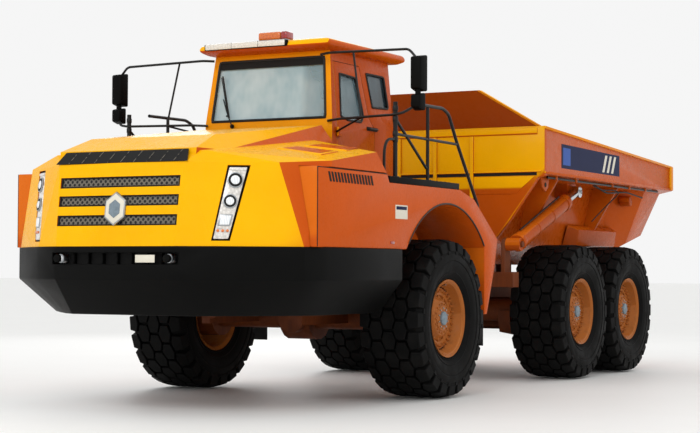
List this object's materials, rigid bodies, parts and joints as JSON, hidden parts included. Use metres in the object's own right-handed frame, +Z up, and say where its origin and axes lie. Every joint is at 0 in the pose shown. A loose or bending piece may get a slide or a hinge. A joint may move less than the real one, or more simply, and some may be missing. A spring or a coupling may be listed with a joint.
{
  "type": "articulated dump truck",
  "caption": "Articulated off-road dump truck, bending and rolling at its middle hitch, with a tilting hood, hinged cab door and a tipping load body.",
  "frame": {"origin": "centre of the box around the truck, on the floor", "axes": "+Z up, the truck faces -Y, its left side is +X"},
  "size_m": [4.64, 13.46, 4.67],
  "materials": {
    "paint_yellow": "gloss yellow enamel",
    "paint_orange": "gloss orange enamel",
    "black_plastic": "satin black moulding",
    "black_tube": "black powder coat",
    "tyre": "moulded rubber",
    "rim": "orange enamel",
    "chassis": "dark grey chassis paint",
    "chrome_rod": "hard chrome",
    "glass": "pale tinted safety glass",
    "lamp": "clear lens over silver",
    "amber_lens": "amber lens",
    "seat_cloth": "black cloth"
  },
  "bodies": {
    "tractor": {"front_frame": "chassis", "engine_block": "chassis", "front_skirt": "black_plastic", "fender_left": "paint_orange", "fender_right": "paint_orange", "deck_left": "black_plastic", "deck_right": "black_plastic", "front_axle": "chassis", "cab_shell": "paint_orange", "cab_roof": "paint_yellow", "windscreen": "glass", "rear_window": "glass", "quarter_glass_left": "glass", "quarter_glass_right": "glass", "side_glass_right": "glass", "beacon_bar": "amber_lens", "seat": "seat_cloth", "dash": "black_plastic", "handrail_left": "black_tube", "handrail_right": "black_tube", "mirror_left": "black_plastic", "mirror_right": "black_plastic"},
    "hood": {"hood_shell": "paint_yellow", "grille": "black_plastic", "headlight_left": "lamp", "headlight_right": "lamp"},
    "cab_door": {"cab_door": "paint_orange", "door_glass": "glass"},
    "hitch": {"hitch": "chassis"},
    "rear_chassis": {"rear_frame": "chassis", "mid_axle": "chassis", "rear_axle": "chassis", "walking_beam_left": "chassis", "walking_beam_right": "chassis"},
    "dump_body": {"bed_body": "paint_orange", "spill_guard": "paint_orange"},
    "wheel_front_left": {"tyre_front_left": "tyre", "rim_front_left": "rim"},
    "wheel_front_right": {"tyre_front_right": "tyre", "rim_front_right": "rim"},
    "wheel_mid_left": {"tyre_mid_left": "tyre", "rim_mid_left": "rim"},
    "wheel_mid_right": {"tyre_mid_right": "tyre", "rim_mid_right": "rim"},
    "wheel_rear_left": {"tyre_rear_left": "tyre", "rim_rear_left": "rim"},
    "wheel_rear_right": {"tyre_rear_right": "tyre", "rim_rear_right": "rim"},
    "hoist_barrel_left": {"hoist_barrel_left": "paint_orange"},
    "hoist_stage_left": {"hoist_stage_left": "chrome_rod"},
    "hoist_rod_left": {"hoist_rod_left": "chrome_rod"},
    "hoist_barrel_right": {"hoist_barrel_right": "paint_orange"},
    "hoist_stage_right": {"hoist_stage_right": "chrome_rod"},
    "hoist_rod_right": {"hoist_rod_right": "chrome_rod"},
    "steer_barrel_left": {"steer_barrel_left": "paint_orange"},
    "steer_rod_left": {"steer_rod_left": "chrome_rod"},
    "steer_barrel_right": {"steer_barrel_right": "paint_orange"},
    "steer_rod_right": {"steer_rod_right": "chrome_rod"}
  },
  "joints": [
    {"name": "steering", "type": "hinge", "parent": "tractor", "child": "hitch", "pos_m": [0, -0.47, 1.26], "axis": [0, 0, 1], "range_deg": [-42, 42]},
    {"name": "frame_roll", "type": "hinge", "parent": "hitch", "child": "rear_chassis", "pos_m": [0, -0.47, 1.26], "axis": [0, 1, 0], "range_deg": [-10, 10]},
    {"name": "bed_tip", "type": "hinge", "parent": "rear_chassis", "child": "dump_body", "pos_m": [0, 5.13, 1.52], "axis": [-1, 0, 0], "range_deg": [0, 70]},
    {"name": "hood_tilt", "type": "hinge", "parent": "tractor", "child": "hood", "pos_m": [0, -6.77, 1.93], "axis": [1, 0, 0], "range_deg": [0, 55]},
    {"name": "door_swing", "type": "hinge", "parent": "tractor", "child": "cab_door", "pos_m": [0.9725, -3.33, 0], "axis": [0, 0, -1], "range_deg": [0, 75]},
    {"name": "wheel_front_left_spin", "type": "hinge", "parent": "tractor", "child": "wheel_front_left", "pos_m": [1.75, -2.47, 1.01], "axis": [1, 0, 0], "continuous": true},
    {"name": "wheel_front_right_spin", "type": "hinge", "parent": "tractor", "child": "wheel_front_right", "pos_m": [-1.75, -2.47, 1.01], "axis": [1, 0, 0], "continuous": true},
    {"name": "wheel_mid_left_spin", "type": "hinge", "parent": "rear_chassis", "child": "wheel_mid_left", "pos_m": [1.75, 2.204, 1.01], "axis": [1, 0, 0], "continuous": true},
    {"name": "wheel_mid_right_spin", "type": "hinge", "parent": "rear_chassis", "child": "wheel_mid_right", "pos_m": [-1.75, 2.204, 1.01], "axis": [1, 0, 0], "continuous": true},
    {"name": "wheel_rear_left_spin", "type": "hinge", "parent": "rear_chassis", "child": "wheel_rear_left", "pos_m": [1.75, 4.318, 1.01], "axis": [1, 0, 0], "continuous": true},
    {"name": "wheel_rear_right_spin", "type": "hinge", "parent": "rear_chassis", "child": "wheel_rear_right", "pos_m": [-1.75, 4.318, 1.01], "axis": [1, 0, 0], "continuous": true},
    {"name": "hoist_swing_left", "type": "hinge", "parent": "rear_chassis", "child": "hoist_barrel_left", "pos_m": [1.66, 0.73, 2], "axis": [1, 0, 0], "range_deg": [0, 0.86]},
    {"name": "hoist_stage_slide_left", "type": "slide", "parent": "hoist_barrel_left", "child": "hoist_stage_left", "axis": [0, 0.9414, 0.3373], "range_m": [0, 1.3826]},
    {"name": "hoist_rod_slide_left", "type": "slide", "parent": "hoist_stage_left", "child": "hoist_rod_left", "axis": [0, 0.9414, 0.3373], "range_m": [0, 1.3826]},
    {"name": "hoist_swing_right", "type": "hinge", "parent": "rear_chassis", "child": "hoist_barrel_right", "pos_m": [-1.66, 0.73, 2], "axis": [1, 0, 0], "range_deg": [0, 0.86]},
    {"name": "hoist_stage_slide_right", "type": "slide", "parent": "hoist_barrel_right", "child": "hoist_stage_right", "axis": [0, 0.9414, 0.3373], "range_m": [0, 1.3826]},
    {"name": "hoist_rod_slide_right", "type": "slide", "parent": "hoist_stage_right", "child": "hoist_rod_right", "axis": [0, 0.9414, 0.3373], "range_m": [0, 1.3826]},
    {"name": "steer_swing_left", "type": "hinge", "parent": "tractor", "child": "steer_barrel_left", "pos_m": [0.8, -1.75, 1.26], "axis": [0, 0, 1], "range_deg": [-1.21, 1.21]},
    {"name": "steer_slide_left", "type": "slide", "parent": "steer_barrel_left", "child": "steer_rod_left", "axis": [-0.1961, 0.9806, 0], "range_m": [-0.3593, 0.3593]},
    {"name": "steer_swing_right", "type": "hinge", "parent": "tractor", "child": "steer_barrel_right", "pos_m": [-0.8, -1.75, 1.26], "axis": [0, 0, 1], "range_deg": [-1.21, 1.21]},
    {"name": "steer_slide_right", "type": "slide", "parent": "steer_barrel_right", "child": "steer_rod_right", "axis": [0.1961, 0.9806, 0], "range_m": [-0.3593, 0.3593]}
  ],
  "couplings": [
    {"joint": "hoist_swing_left", "follows": "bed_tip", "ratio": 0.010872},
    {"joint": "hoist_stage_slide_left", "follows": "bed_tip", "m_per_rad": 1.13},
    {"joint": "hoist_rod_slide_left", "follows": "bed_tip", "m_per_rad": 1.13},
    {"joint": "hoist_swing_right", "follows": "bed_tip", "ratio": 0.010872},
    {"joint": "hoist_stage_slide_right", "follows": "bed_tip", "m_per_rad": 1.13},
    {"joint": "hoist_rod_slide_right", "follows": "bed_tip", "m_per_rad": 1.13},
    {"joint": "steer_swing_left", "follows": "steering", "ratio": -0.024142},
    {"joint": "steer_slide_left", "follows": "steering", "m_per_rad": 0.48599},
    {"joint": "steer_swing_right", "follows": "steering", "ratio": -0.024142},
    {"joint": "steer_slide_right", "follows": "steering", "m_per_rad": -0.48599}
  ]
}
